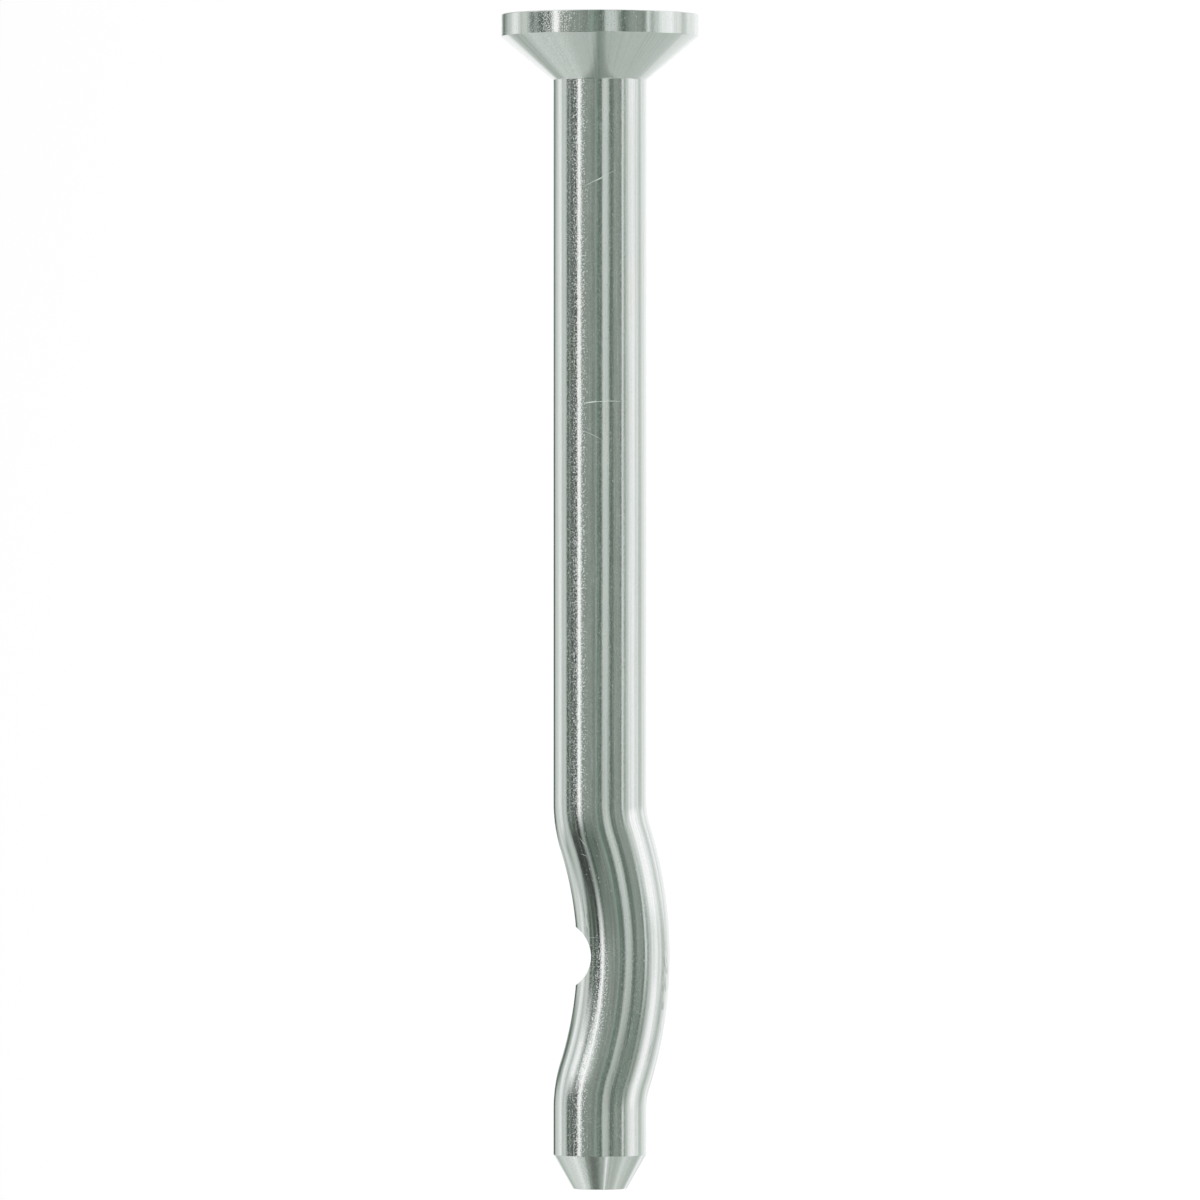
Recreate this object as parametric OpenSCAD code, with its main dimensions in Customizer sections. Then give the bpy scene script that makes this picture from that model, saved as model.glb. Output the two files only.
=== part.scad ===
// Crimp drive anchor, countersunk head.
//
// One piece of steel: a flat countersunk head, a plain round shank, an
// S-shaped crimp near the far end with a round notch across its hollow side,
// and a coned tip. It is hammered into a drilled hole a little wider than the
// shank, where the crimp is squeezed towards straight and grips the wall.
//
// The anchor lies on the XY plane as it comes to rest on a table: on the lower
// edge of its rim, on the flank of the crimp's crest and on the edge where the
// shank meets the tip's cone. The head points to +X and the tip to -X, and the
// origin is under the middle of the bounding box. Lengths are in millimetres.

/* [Anchor] */
// Overall length, from the head's flat face to the tip's flat end
anchor_len = 76.2; // [60:0.1:110]
// Diameter of the shank, a little under that of the hole it is made for
shank_d = 6.05; // [5.5:0.05:6.5]

/* [Head] */
// Diameter of the head
head_d = 12.8; // [11:0.1:14]
// Height of the straight rim under the head's flat face
rim_h = 1.42; // [1:0.02:2]
// Included angle of the countersunk underside
countersink_angle = 100; // [82:1:110]

/* [Crimp] */
// Length of the crimp along the shank
crimp_len = 19.9; // [18:0.1:22]
// Sideways offset of the centreline at the crimp's crest
crimp_offset = 1.52; // [1.4:0.02:1.9]
// Centreline radius of the bend at each end of the crimp
bend_r = 7.65; // [6:0.05:9]
// Straight shank left between the crimp and the tip's cone
pilot_len = 2.95; // [2:0.05:6]

/* [Notch] */
// Radius of the round notch across the hollow side of the crest
notch_r = 2.3; // [1.8:0.1:3]
// Depth of the notch below the hollow side
notch_depth = 0.92; // [0.5:0.02:1.2]

/* [Tip] */
// Included angle of the tip's cone
tip_angle = 60; // [50:1:80]
// Diameter of the tip's flat end
tip_flat_d = 3.5; // [2.8:0.1:4.2]

/* [Hidden] */
$fn = 96;

// Places where two bodies of the shank meet face to face are set to this step,
// in millimetres and in degrees, so that both get the very same number.
grain = 0.001;
function to_grain(x) = round(x / grain) * grain;

// Neighbouring bodies of the shank run this far into each other, in millimetres
// and in degrees, so that they join into one.
lap = 0.00001;

zinc_grey = [0.62, 0.66, 0.63];
shank_r = shank_d / 2;
head_r = head_d / 2;
tip_flat_r = tip_flat_d / 2;

// Heights along the anchor's own axis. It runs along +Z from the head's flat
// face, at z = 0, to the tip, and the crest of the crimp points to +X.
neck_z = rim_h + (head_r - shank_r) / tan(countersink_angle / 2);
tip_z = anchor_len - (shank_r - tip_flat_r) / tan(tip_angle / 2);
crimp_end_z = to_grain(tip_z - pilot_len);
crimp_start_z = to_grain(crimp_end_z - crimp_len);
crest_z = (crimp_start_z + crimp_end_z) / 2;

// The crimp's centreline is three arcs, each tangent to the next: an end bend
// that leans the shank over by lean, a long crest that brings it back, and the
// first bend mirrored.
lean = to_grain(2 * atan(2 * crimp_offset / crimp_len));
crest_r = (crest_z - crimp_start_z) / sin(lean) - bend_r;
crest_centre_x = bend_r - (bend_r + crest_r) * cos(lean);

// The notch is a cylinder that lies across the crimp, on its hollow side.
notch_x = crimp_offset - shank_r + notch_depth - notch_r;
// Enough to run the notch's cylinder past both sides of the shank
notch_len = 2 * shank_d;

// At rest the anchor dips from the lower edge of the rim to the edge where the
// tip's cone starts, and the centre of the head's face is rest_h up.
dip = atan((head_r - shank_r) / (tip_z - rim_h));
rest_h = head_r * cos(dip) + rim_h * sin(dip);

// It then rolls until the crest touches as well. If x is the share of the
// crest's direction that points straight down, the crest reaches below the
// face's centre by
//     shank_r + crest_z * sin(dip) + crest_centre_x * x
//         + crest_r * sqrt(x^2 + sin(dip)^2).
// Setting that to rest_h gives a quadratic in x, and its larger root is the
// one with the touching point on the crest's own arc.
crest_gap = rest_h - shank_r - crest_z * sin(dip);
quad_a = crest_r ^ 2 - crest_centre_x ^ 2;
quad_b = 2 * crest_gap * crest_centre_x;
quad_c = (crest_r * sin(dip)) ^ 2 - crest_gap ^ 2;
crest_down = (sqrt(quad_b ^ 2 - 4 * quad_a * quad_c) - quad_b) / (2 * quad_a);
// Turn of the crest's direction away from straight down, about the shank
roll = acos(crest_down / cos(dip));

// How far the head and the tip reach along X from the face's centre
head_reach = head_r * sin(dip);
tip_reach = anchor_len * cos(dip) + tip_flat_r * sin(dip);

// Moves its children by v in two steps, down to the grain and then by what is
// left. Each step needs few digits, so a file that keeps six of them still has
// the arcs meeting face to face.
module shift(v) {
    coarse = [for (c = v) to_grain(c)];
    translate(coarse)
        translate(v - coarse)
            children();
}

// Countersunk head and the straight shank, down to the start of the crimp
module head_and_shank() {
    rotate_extrude()
        polygon([
            [0, 0],
            [head_r, 0],
            [head_r, rim_h],
            [shank_r, neck_z],
            [shank_r, crimp_start_z + lap],
            [0, crimp_start_z + lap]
        ]);
}

// Short straight pilot after the crimp, and the coned tip
module pilot_and_tip() {
    rotate_extrude()
        polygon([
            [0, crimp_end_z - lap],
            [shank_r, crimp_end_z - lap],
            [shank_r, tip_z],
            [tip_flat_r, anchor_len],
            [0, anchor_len]
        ]);
}

// Rod bent round a centre at the origin, in the XY plane, from angle start on
module bent_rod(r, start, angle) {
    rotate_extrude(angle = angle, start = start)
        shift([r, 0])
            circle(r = shank_r);
}

// End bend next to the straight shank, leaning towards +X round a centre on
// that side
module end_bend() {
    shift([bend_r, 0, crimp_start_z])
        rotate([90, 0, 180])
            bent_rod(bend_r, 0, lean);
}

// The three arcs of the crimp, with the notch cut across the crest
module crimp() {
    difference() {
        union() {
            end_bend();
            shift([crest_centre_x, 0, crest_z])
                rotate([90, 0, 0])
                    bent_rod(crest_r, -lean - lap, 2 * (lean + lap));
            shift([0, 0, 2 * crest_z])
                mirror([0, 0, 1])
                    end_bend();
        }
        shift([notch_x, 0, crest_z])
            rotate([90, 0, 0])
                cylinder(r = notch_r, h = notch_len, center = true);
    }
}

// Moves the anchor from its own axis to the way it lies at rest
module lay_down() {
    translate([(tip_reach - head_reach) / 2, 0, rest_h])
        rotate([0, -90 - dip, 0])
            rotate([0, 0, 180 + roll])
                children();
}

// The whole anchor, one solid piece of steel
module anchor() {
    color(zinc_grey)
        lay_down()
            union() {
                head_and_shank();
                crimp();
                pilot_and_tip();
            }
}

anchor();
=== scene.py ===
"""Looks of the crimp drive anchor: one piece of bright zinc plated steel, at rest on a pale floor.

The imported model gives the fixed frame. The anchor's surface is turned, bent and notched here from the same
driving dimensions, smooth enough to mirror the studio, and it stands for the CAD node.
"""

import functools
import logging
import math
from dataclasses import dataclass, field, replace
from enum import Enum
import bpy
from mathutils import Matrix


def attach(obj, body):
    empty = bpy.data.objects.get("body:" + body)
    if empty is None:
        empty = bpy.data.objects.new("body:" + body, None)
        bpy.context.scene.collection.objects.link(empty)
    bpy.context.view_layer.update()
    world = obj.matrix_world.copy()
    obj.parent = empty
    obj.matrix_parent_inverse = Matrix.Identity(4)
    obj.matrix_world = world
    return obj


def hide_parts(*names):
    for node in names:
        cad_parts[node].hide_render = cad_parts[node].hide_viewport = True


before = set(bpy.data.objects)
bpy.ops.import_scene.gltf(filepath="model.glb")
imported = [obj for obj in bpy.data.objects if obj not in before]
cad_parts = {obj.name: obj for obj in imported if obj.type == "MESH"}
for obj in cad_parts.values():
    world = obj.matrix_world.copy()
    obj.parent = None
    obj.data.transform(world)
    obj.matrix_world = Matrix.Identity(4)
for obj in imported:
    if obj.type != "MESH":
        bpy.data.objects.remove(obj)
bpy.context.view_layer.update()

from types import SimpleNamespace

import bpy
import numpy as np
from mathutils import Matrix, Vector

LOG = logging.getLogger("anchor")
MM = 0.001
# Point attribute that holds each point's place on the wire before it was bent, in millimetres
DRAWN_ATTRIBUTE = "drawn_wire"
# Distance between neighbouring nodes in Blender's node editor
NODE_GAP = 220.0

Colour = tuple[float, float, float]
Span = tuple[float, float]


def opaque(colour: Colour) -> tuple[float, float, float, float]:
    """Gives a colour the full alpha that Blender's colour sockets hold."""
    return (*colour, 1.0)


def shown(name: str, data: bpy.types.ID) -> bpy.types.Object:
    """Adds an object to the scene."""
    thing = bpy.data.objects.new(name, data)
    bpy.context.scene.collection.objects.link(thing)
    return thing


WHITE = opaque((1.0, 1.0, 1.0))


# Sizes and attitude


@dataclass(frozen=True)
class AnchorSizes:
    """Driving dimensions of the anchor, in millimetres and degrees, and what follows from them."""

    length: float = 76.2
    shank_r: float = 3.025
    head_r: float = 6.4
    rim: float = 1.42
    countersink: float = 100.0
    crimp: float = 19.9
    crimp_offset: float = 1.52
    bend_r: float = 7.65
    pilot: float = 2.95
    notch_r: float = 2.3
    notch_depth: float = 0.92
    tip_angle: float = 60.0
    tip_flat_r: float = 1.75

    @property
    def neck(self) -> float:
        """Place along the axis where the countersunk underside meets the shank."""
        return self.rim + (self.head_r - self.shank_r) / math.tan(math.radians(self.countersink / 2))

    @property
    def tip(self) -> float:
        """Place along the axis where the tip's cone starts."""
        return self.length - (self.shank_r - self.tip_flat_r) / math.tan(math.radians(self.tip_angle / 2))

    @property
    def crimp_end(self) -> float:
        """Place along the axis where the crimp ends."""
        return round(self.tip - self.pilot, 3)

    @property
    def crimp_start(self) -> float:
        """Place along the axis where the crimp starts."""
        return round(self.crimp_end - self.crimp, 3)

    @property
    def crest(self) -> float:
        """Place along the axis of the crimp's crest."""
        return (self.crimp_start + self.crimp_end) / 2

    @property
    def lean(self) -> float:
        """Angle that each end bend leans the wire over by, in radians."""
        return math.radians(round(math.degrees(2 * math.atan(2 * self.crimp_offset / self.crimp)), 3))

    @property
    def crest_r(self) -> float:
        """Centreline radius of the long arc over the crest."""
        return (self.crest - self.crimp_start) / math.sin(self.lean) - self.bend_r

    @property
    def crest_centre(self) -> float:
        """Place of the crest arc's centre across the axis, on the hollow side."""
        return self.bend_r - (self.bend_r + self.crest_r) * math.cos(self.lean)

    @property
    def crest_drawn(self) -> float:
        """Length of wire up to the crest."""
        return self.crimp_start + (self.bend_r + self.crest_r) * self.lean

    @property
    def notch_centre(self) -> float:
        """Place of the notch's centre across the axis, on the hollow side."""
        return self.crimp_offset - self.shank_r + self.notch_depth - self.notch_r


@dataclass(frozen=True)
class RestAttitude:
    """How the anchor lies: on the rim's lower edge, the crest's flank and the edge of the tip's cone."""

    sizes: AnchorSizes

    @property
    def dip(self) -> float:
        """Angle that the axis dips by from head to tip."""
        s = self.sizes
        return math.atan((s.head_r - s.shank_r) / (s.tip - s.rim))

    @property
    def rest_height(self) -> float:
        """Height of the centre of the head's face over the floor."""
        s = self.sizes
        return s.head_r * math.cos(self.dip) + s.rim * math.sin(self.dip)

    @property
    def roll(self) -> float:
        """Turn of the crest away from straight down, about the shank, once the crest touches the floor."""
        s = self.sizes
        gap = self.rest_height - s.shank_r - s.crest * math.sin(self.dip)
        square = s.crest_r**2 - s.crest_centre**2
        linear = 2 * gap * s.crest_centre
        rest = (s.crest_r * math.sin(self.dip)) ** 2 - gap**2
        crest_down = (math.sqrt(linear**2 - 4 * square * rest) - linear) / (2 * square)
        return math.acos(crest_down / math.cos(self.dip))

    def matrix(self) -> Matrix:
        """Places the anchor's own axes, in millimetres, in the row frame, in metres.

        Returns:
            The transform from (crest side, upper side, along) to the row frame.
        """
        s = self.sizes
        reach = (s.length * math.cos(self.dip) + (s.tip_flat_r - s.head_r) * math.sin(self.dip)) / 2
        laid = Matrix.Rotation(-math.pi / 2 - self.dip, 4, "Y")
        rolled = Matrix.Rotation(math.pi + self.roll, 4, "Z")
        return Matrix.Scale(MM, 4) @ Matrix.Translation((reach, 0.0, self.rest_height)) @ laid @ rolled

    def axes(self) -> tuple[Vector, Vector, Vector]:
        """Gives the ways to the crest's side, to the upper side and to the tip in the row frame."""
        turn = self.matrix().to_3x3() * (1 / MM)
        return turn.col[0].copy(), turn.col[1].copy(), turn.col[2].copy()


# The anchor's surface


class Zone(Enum):
    """Stretch of the anchor that a face belongs to."""

    HEAD_FACE = "head face"
    RIM = "rim"
    COUNTERSINK = "countersink"
    SHANK = "shank"
    CRIMP = "crimp"
    NOTCH = "notch"
    PILOT = "pilot"
    TIP_CONE = "tip cone"
    TIP_FLAT = "tip flat"


@dataclass(frozen=True)
class Ring:
    """One ring of points round the wire.

    Attributes:
        zone: the stretch that starts here.
        drawn: distance from the head's face along the wire before it was bent.
        radius: its radius.
        x: its centre's place across the axis, towards the crest.
        z: its centre's place along the axis.
        lean: angle of the wire away from the axis, towards the crest.
        slope: angle of the surface's outward direction towards the tip.
        half_turn: how far it runs to each side of the crest's side, pi where it closes.
    """

    zone: Zone
    drawn: float
    radius: float
    x: float
    z: float
    lean: float = 0.0
    slope: float = 0.0
    half_turn: float = math.pi

    def leant(self, across: np.ndarray, upward: np.ndarray, tipward: float = 0.0) -> np.ndarray:
        """Turns offsets from the wire's own directions to the anchor's own axes.

        Args:
            across: offsets in the ring's plane towards the crest's side.
            upward: offsets in it towards the upper side.
            tipward: offset square to it.

        Returns:
            An array of offsets.
        """
        cosine, sine = math.cos(self.lean), math.sin(self.lean)
        x, z = across * cosine + tipward * sine, tipward * cosine - across * sine
        return np.stack((x, upward, z), axis=-1)

    def place(self, across: np.ndarray, upward: np.ndarray) -> np.ndarray:
        """Gives the points at some offsets in the ring's plane."""
        return self.leant(across, upward) + (self.x, 0.0, self.z)

    def outward(self, turn: np.ndarray) -> np.ndarray:
        """Gives the surface's unit directions at some angles from the crest's side."""
        level = math.cos(self.slope)
        return self.leant(np.cos(turn) * level, np.sin(turn) * level, math.sin(self.slope))


@dataclass(frozen=True)
class Corner:
    """A corner of a turned profile.

    Attributes:
        zone: the stretch that follows it.
        radius: distance from the axis.
        along: distance from the head's face.
        edge: radius that the corner is broken with, 0 for an end of the profile.
        rings: rings on the stretch that follows.
    """

    zone: Zone
    radius: float
    along: float
    edge: float = 0.0
    rings: int = 1


def even_turns(start: float, end: float, step: float) -> np.ndarray:
    """Gives even turns at most a step apart, without the last."""
    return np.linspace(start, end, math.ceil((end - start) / step) + 1)[:-1]


@dataclass
class AnchorSteel:
    """The anchor, one piece of cold formed and crimped wire.

    Attributes:
        sizes: its driving dimensions.
        columns: points round the wire.
        edge: radius on its sharp edges, in millimetres.
        neck_edge: radius in the corner under the head.
        edge_rings: rings across an edge's radius.
        shank_rings: rings along the straight shank.
        bend_step: turn between rings on the end bends.
        crest_step: turn between rings over the crest.
        notch_rings: rings across the notch.
        notch_columns: points across the notch's wall.
    """

    sizes: AnchorSizes = field(default_factory=AnchorSizes)
    columns: int = 192
    edge: float = 0.05
    neck_edge: float = 0.08
    edge_rings: int = 5
    shank_rings: int = 24
    bend_step: float = math.radians(0.7)
    crest_step: float = math.radians(0.5)
    notch_rings: int = 48
    notch_columns: int = 32
    points: list[np.ndarray] = field(default_factory=list)
    drawn_points: list[np.ndarray] = field(default_factory=list)
    normals: list[np.ndarray] = field(default_factory=list)
    faces: list[list[int]] = field(default_factory=list)
    face_normals: list[np.ndarray] = field(default_factory=list)
    face_zones: list[Zone] = field(default_factory=list)
    count: int = 0

    def turned(self, corners: list[Corner], drawn_shift: float = 0.0) -> list[Ring]:
        """Turns a stretch whose profile is a chain of corners.

        Args:
            corners: the profile, from the head's side to the tip's.
            drawn_shift: what the crimp adds to the length of wire before this stretch.

        Returns:
            The rings, without one for the last corner.
        """
        runs = [np.array((b.radius - a.radius, b.along - a.along)) for a, b in zip(corners, corners[1:])]
        slopes = [math.atan2(-run[0], run[1]) for run in runs]
        turns = [0.0, *(ahead - here for here, ahead in zip(slopes, slopes[1:])), 0.0]
        cuts = [corner.edge * math.tan(abs(turn) / 2) for corner, turn in zip(corners, turns)]
        spots = []
        for k, (corner, run, slope) in enumerate(zip(corners, runs, slopes)):
            start, length = np.array((corner.radius, corner.along)), np.hypot(*run)
            way, arm = run / length, math.copysign(corner.edge, turns[k])
            centre = start + way * cuts[k] - arm * np.array((math.cos(slope), math.sin(slope)))
            for angle in np.linspace(slope - turns[k], slope, self.edge_rings)[:-1] if k > 0 else ():
                edge = centre + arm * np.array((math.cos(angle), math.sin(angle)))
                spots.append((corner.zone, angle, edge))
            for step in np.linspace(cuts[k], length - cuts[k + 1], corner.rings + 1)[:-1]:
                spots.append((corner.zone, slope, start + way * step))
        return [Ring(zone, at[1] + drawn_shift, at[0], 0.0, at[1], slope=angle) for zone, angle, at in spots]

    def head_and_shank(self) -> list[Ring]:
        """Turns the head's face, rim and countersunk underside, and the straight shank.

        Returns:
            Their rings.
        """
        s = self.sizes
        corners = [
            Corner(Zone.HEAD_FACE, 0.0, 0.0, rings=5),
            Corner(Zone.RIM, s.head_r, 0.0, self.edge, rings=3),
            Corner(Zone.COUNTERSINK, s.head_r, s.rim, self.edge, rings=8),
            Corner(Zone.SHANK, s.shank_r, s.neck, self.neck_edge, rings=self.shank_rings),
            Corner(Zone.CRIMP, s.shank_r, s.crimp_start),
        ]
        return self.turned(corners)

    def crimp_and_notch(self) -> list[Ring]:
        """Bends the crimp: an end bend, the crest's arc with the notch in it, and the first bend mirrored.

        Returns:
            Its rings.
        """
        s = self.sizes
        first = []
        for turn in even_turns(0.0, s.lean, self.bend_step):
            x, z = s.bend_r * (1 - math.cos(turn)), s.crimp_start + s.bend_r * math.sin(turn)
            first.append(Ring(Zone.CRIMP, s.crimp_start + s.bend_r * turn, s.shank_r, x, z, lean=turn))
        edge = self.notch_wall(self.notch_spread())[0]
        before = [self.crest_ring(turn) for turn in even_turns(-s.lean, -edge, self.crest_step)]
        after = [self.crest_ring(turn) for turn in (*even_turns(edge, s.lean, self.crest_step), s.lean)]
        last = [
            replace(ring, drawn=2 * s.crest_drawn - ring.drawn, z=2 * s.crest - ring.z, lean=-ring.lean)
            for ring in reversed(first[1:])
        ]
        return first + before + self.notch() + after + last

    def crest_ring(self, turn: float, across: float | None = None, zone: Zone = Zone.CRIMP) -> Ring:
        """Gives a ring on the crest's arc.

        Args:
            turn: angle round the arc's centre, from the crest towards the tip.
            across: place of the notch's wall across the wire, where it cuts the ring.
            zone: the stretch that starts here.

        Returns:
            The ring, open at the notch.
        """
        s = self.sizes
        return Ring(
            zone,
            s.crest_drawn + s.crest_r * turn,
            s.shank_r,
            s.crest_centre + s.crest_r * math.cos(turn),
            s.crest + s.crest_r * math.sin(turn),
            lean=-turn,
            half_turn=math.pi if across is None else math.acos(max(-1.0, across / s.shank_r)),
        )

    def notch_spread(self) -> float:
        """Gives half of the angle of the notch's cylinder that lies in the steel."""
        s = self.sizes
        apart, inner = s.notch_centre - s.crest_centre, s.crest_r - s.shank_r
        return math.acos((inner**2 - apart**2 - s.notch_r**2) / (2 * apart * s.notch_r))

    def notch_wall(self, angle: float) -> Span:
        """Finds where the notch's wall stands.

        Args:
            angle: angle on the notch's cylinder, from its deepest line towards the tip.

        Returns:
            The turn round the crest's centre, and the distance from the wire's centre towards the crest.
        """
        s = self.sizes
        apart = s.notch_centre - s.crest_centre + s.notch_r * math.cos(angle)
        along = s.notch_r * math.sin(angle)
        return math.atan2(along, apart), math.hypot(apart, along) - s.crest_r

    def notch(self) -> list[Ring]:
        """Cuts the notch.

        Returns:
            The rings across it, closer together towards its two corners, the first of them still closed.
        """
        rings = []
        for share in np.linspace(-1.0, 1.0, self.notch_rings + 1)[:-1]:
            turn, across = self.notch_wall(self.notch_spread() * math.sin(share * math.pi / 2))
            rings.append(self.crest_ring(turn, across if share > -1 else None, Zone.NOTCH))
        return rings

    def pilot_and_tip(self) -> list[Ring]:
        """Turns the short straight pilot, the coned tip and its flat end.

        Returns:
            Their rings, the last of them a point.
        """
        s = self.sizes
        shift = 2 * (s.crest_drawn - s.crest)
        corners = [
            Corner(Zone.PILOT, s.shank_r, s.crimp_end, rings=4),
            Corner(Zone.TIP_CONE, s.shank_r, s.tip, self.edge, rings=6),
            Corner(Zone.TIP_FLAT, s.tip_flat_r, s.length, self.edge, rings=4),
            Corner(Zone.TIP_FLAT, 0.0, s.length),
        ]
        end = Ring(Zone.TIP_FLAT, s.length + shift, 0.0, 0.0, s.length, slope=math.pi / 2)
        return self.turned(corners, shift) + [end]

    def add_row(self, ring: Ring, across: np.ndarray, upward: np.ndarray, facing: np.ndarray) -> np.ndarray:
        """Adds points in the plane of a ring.

        Args:
            ring: the ring.
            across: their offsets from its centre towards the crest's side.
            upward: their offsets towards the upper side.
            facing: the surface's directions there.

        Returns:
            Their numbers in the mesh.
        """
        self.points.append(ring.place(across, upward))
        self.drawn_points.append(np.stack((across, upward, np.full_like(across, ring.drawn)), axis=-1))
        self.normals.append(facing)
        self.count += len(across)
        return np.arange(self.count - len(across), self.count)

    def add_ring(self, ring: Ring) -> np.ndarray:
        """Adds a ring's points.

        Args:
            ring: the ring.

        Returns:
            Its columns' numbers, which start over where it closes or is a point.
        """
        turns = np.linspace(-ring.half_turn, ring.half_turn, self.columns + 1)
        if ring.radius < 1e-9:
            turns = turns[:1]
        elif ring.half_turn >= math.pi:
            turns = turns[:-1]
        across, upward = ring.radius * np.cos(turns), ring.radius * np.sin(turns)
        return np.resize(self.add_row(ring, across, upward, ring.outward(turns)), self.columns + 1)

    def strip(
        self, here: np.ndarray, ahead: np.ndarray, facing: np.ndarray, facing_ahead: np.ndarray, zone: Zone
    ) -> None:
        """Adds the faces between two rows, as triangles where two corners are one point.

        Args:
            here: the point numbers of the first row.
            ahead: those of the next one.
            facing: the surface's directions along the first row.
            facing_ahead: those along the next one.
            zone: the stretch that the faces belong to.
        """
        numbers = np.stack((here[:-1], here[1:], ahead[1:], ahead[:-1]), axis=1)
        directions = np.stack((facing[:-1], facing[1:], facing_ahead[1:], facing_ahead[:-1]), axis=1)
        for corners, normals in zip(numbers, directions):
            kept = [k for k in range(4) if corners[k] != corners[k - 1]]
            if len(kept) > 2:
                self.faces.append(corners[kept].tolist())
                self.face_normals.extend(normals[kept])
                self.face_zones.append(zone)

    def skin(self, rings: list[Ring]) -> list[np.ndarray]:
        """Adds the rings from the head's face to the tip, and the faces between them.

        Args:
            rings: the rings.

        Returns:
            Each ring's columns.
        """
        rows = [self.add_ring(ring) for ring in rings]
        normals = np.concatenate(self.normals)
        for ring, here, ahead in zip(rings, rows, rows[1:]):
            zone = Zone.CRIMP if ring.zone is Zone.NOTCH else ring.zone
            self.strip(here, ahead, normals[here], normals[ahead], zone)
        return rows

    def wall(self, rings: list[Ring], columns: list[np.ndarray]) -> None:
        """Adds the notch's wall between the open rings.

        Args:
            rings: all rings.
            columns: their columns.
        """
        s = self.sizes
        cut = [k for k, ring in enumerate(rings) if ring.zone is Zone.NOTCH]
        rows, facings = [], []
        for k in (*cut, cut[-1] + 1):
            ring = rings[k]
            deep, wide = ring.radius * math.cos(ring.half_turn), ring.radius * math.sin(ring.half_turn)
            spot = ring.place(np.array([deep]), np.array([0.0]))[0]
            facing = np.array((s.notch_centre - spot[0], 0.0, s.crest - spot[2]))
            facings.append(np.tile(facing / np.linalg.norm(facing), (self.notch_columns + 1, 1)))
            if ring.half_turn >= math.pi:
                rows.append(np.repeat(columns[k][:1], self.notch_columns + 1))
                continue
            upward = np.linspace(wide, -wide, self.notch_columns + 1)[1:-1]
            inner = self.add_row(ring, np.full_like(upward, deep), upward, facings[-1][1:-1])
            rows.append(np.concatenate((columns[k][-1:], inner, columns[k][:1])))
        for here, ahead, facing, facing_ahead in zip(rows, rows[1:], facings, facings[1:]):
            self.strip(here, ahead, facing, facing_ahead, Zone.NOTCH)

    def build(self, attitude: RestAttitude) -> bpy.types.Object:
        """Builds the anchor's mesh where it lies.

        Args:
            attitude: how it lies.

        Returns:
            The new object, with its drawn coordinates in a point attribute.
        """
        rings = self.head_and_shank() + self.crimp_and_notch() + self.pilot_and_tip()
        self.wall(rings, self.skin(rings))
        place = np.array(attitude.matrix())
        turn = place[:3, :3] / MM
        points = np.concatenate(self.points) @ place[:3, :3].T + place[:3, 3]
        mesh = bpy.data.meshes.new("anchor_steel")
        mesh.from_pydata(points.tolist(), [], self.faces)
        mesh.polygons.foreach_set("use_smooth", np.ones(len(self.faces), dtype=bool))
        drawn = mesh.attributes.new(DRAWN_ATTRIBUTE, "FLOAT_VECTOR", "POINT")
        drawn.data.foreach_set("vector", np.concatenate(self.drawn_points).astype(np.float32).ravel())
        mesh.normals_split_custom_set((np.array(self.face_normals) @ turn.T).tolist())
        return shown("anchor_steel", mesh)

    def dress(self, piece: bpy.types.Object, plates: "tuple[ZincFinish, ...]", effects: "Effects") -> None:
        """Gives each stretch its finish.

        Args:
            piece: the anchor.
            plates: the finishes, each of which names its stretches.
            effects: the shared groups.
        """
        for plate in plates:
            piece.data.materials.append(plate.material(effects))
        slots = {zone: number for number, plate in enumerate(plates) for zone in plate.zones}
        piece.data.polygons.foreach_set("material_index", [slots[zone] for zone in self.face_zones])


# Finishes


@dataclass(frozen=True)
class Value:
    """A number in a node tree, to reckon with as with a plain one.

    Attributes:
        bench: the tree's bench.
        socket: where it comes out.
    """

    bench: "NodeBench"
    socket: bpy.types.NodeSocket

    def __add__(self, other: "Feed") -> "Value":
        """Adds a number to it."""
        return self.bench.maths("ADD", self, other)

    def __sub__(self, other: "Feed") -> "Value":
        """Takes a number from it."""
        return self.bench.maths("SUBTRACT", self, other)

    def __rsub__(self, other: float) -> "Value":
        """Takes it from a number."""
        return self.bench.maths("SUBTRACT", other, self)

    def __mul__(self, other: "Feed") -> "Value":
        """Multiplies it by a number."""
        return self.bench.maths("MULTIPLY", self, other)

    def __truediv__(self, other: "Feed") -> "Value":
        """Divides it by a number."""
        return self.bench.maths("DIVIDE", self, other)


Feed = float | Value
Socket = bpy.types.NodeSocket


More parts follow.
